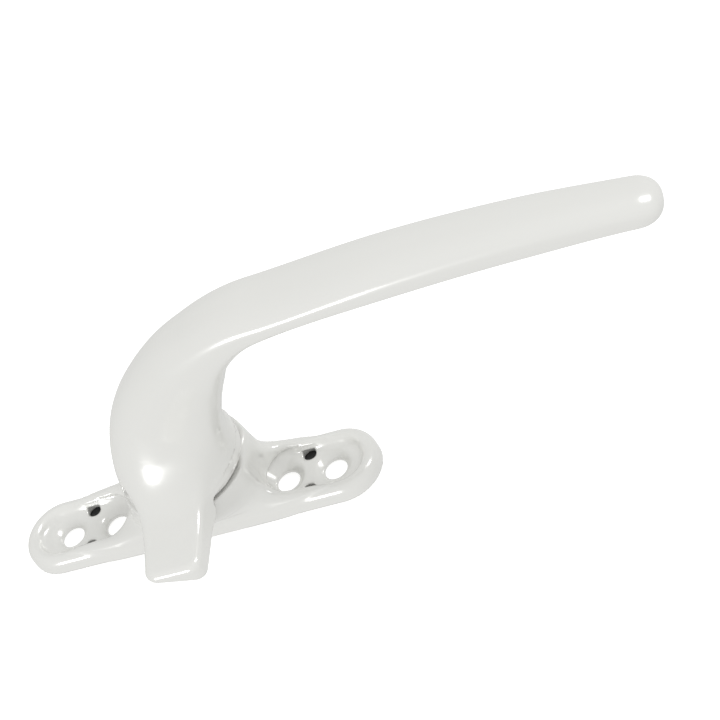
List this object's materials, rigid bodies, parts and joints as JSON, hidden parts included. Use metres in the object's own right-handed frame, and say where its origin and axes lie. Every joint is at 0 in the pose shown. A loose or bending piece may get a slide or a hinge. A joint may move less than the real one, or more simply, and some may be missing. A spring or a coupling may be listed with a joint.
{
  "type": "cockspur window handle",
  "caption": "Curved cockspur window handle: a lever with a locking spur that turns on a narrow screw-down base plate.",
  "frame": {"origin": "middle of the four screw holes, on the back face of the plate", "axes": "+X along the closed lever towards its tip, +Z out of the window towards the hand, -Y towards the locking spur"},
  "size_m": [0.1675, 0.0456, 0.0623],
  "materials": {
    "white_powder_coat": "gloss",
    "zinc_plated_steel": "satin",
    "spring_steel": "satin",
    "acetal": "satin",
    "black_rubber": "matte"
  },
  "bodies": {
    "base": {"base_plate": "white_powder_coat", "pivot_bush": "acetal", "thrust_washer": "acetal", "wave_washer": "spring_steel", "index_springs": "spring_steel", "back_pad": "black_rubber"},
    "lever": {"lever": "white_powder_coat", "spindle": "zinc_plated_steel", "stop_washer": "zinc_plated_steel", "index_cam": "acetal", "plain_washer": "zinc_plated_steel", "retaining_ring": "spring_steel"}
  },
  "joints": [
    {"name": "lever_turn", "type": "hinge", "parent": "base", "child": "lever", "pos_m": [0.0025, 0, 0.0166], "axis": [0, 0, 1], "range_deg": [0, 90], "deforming": ["index_springs"]}
  ]
}
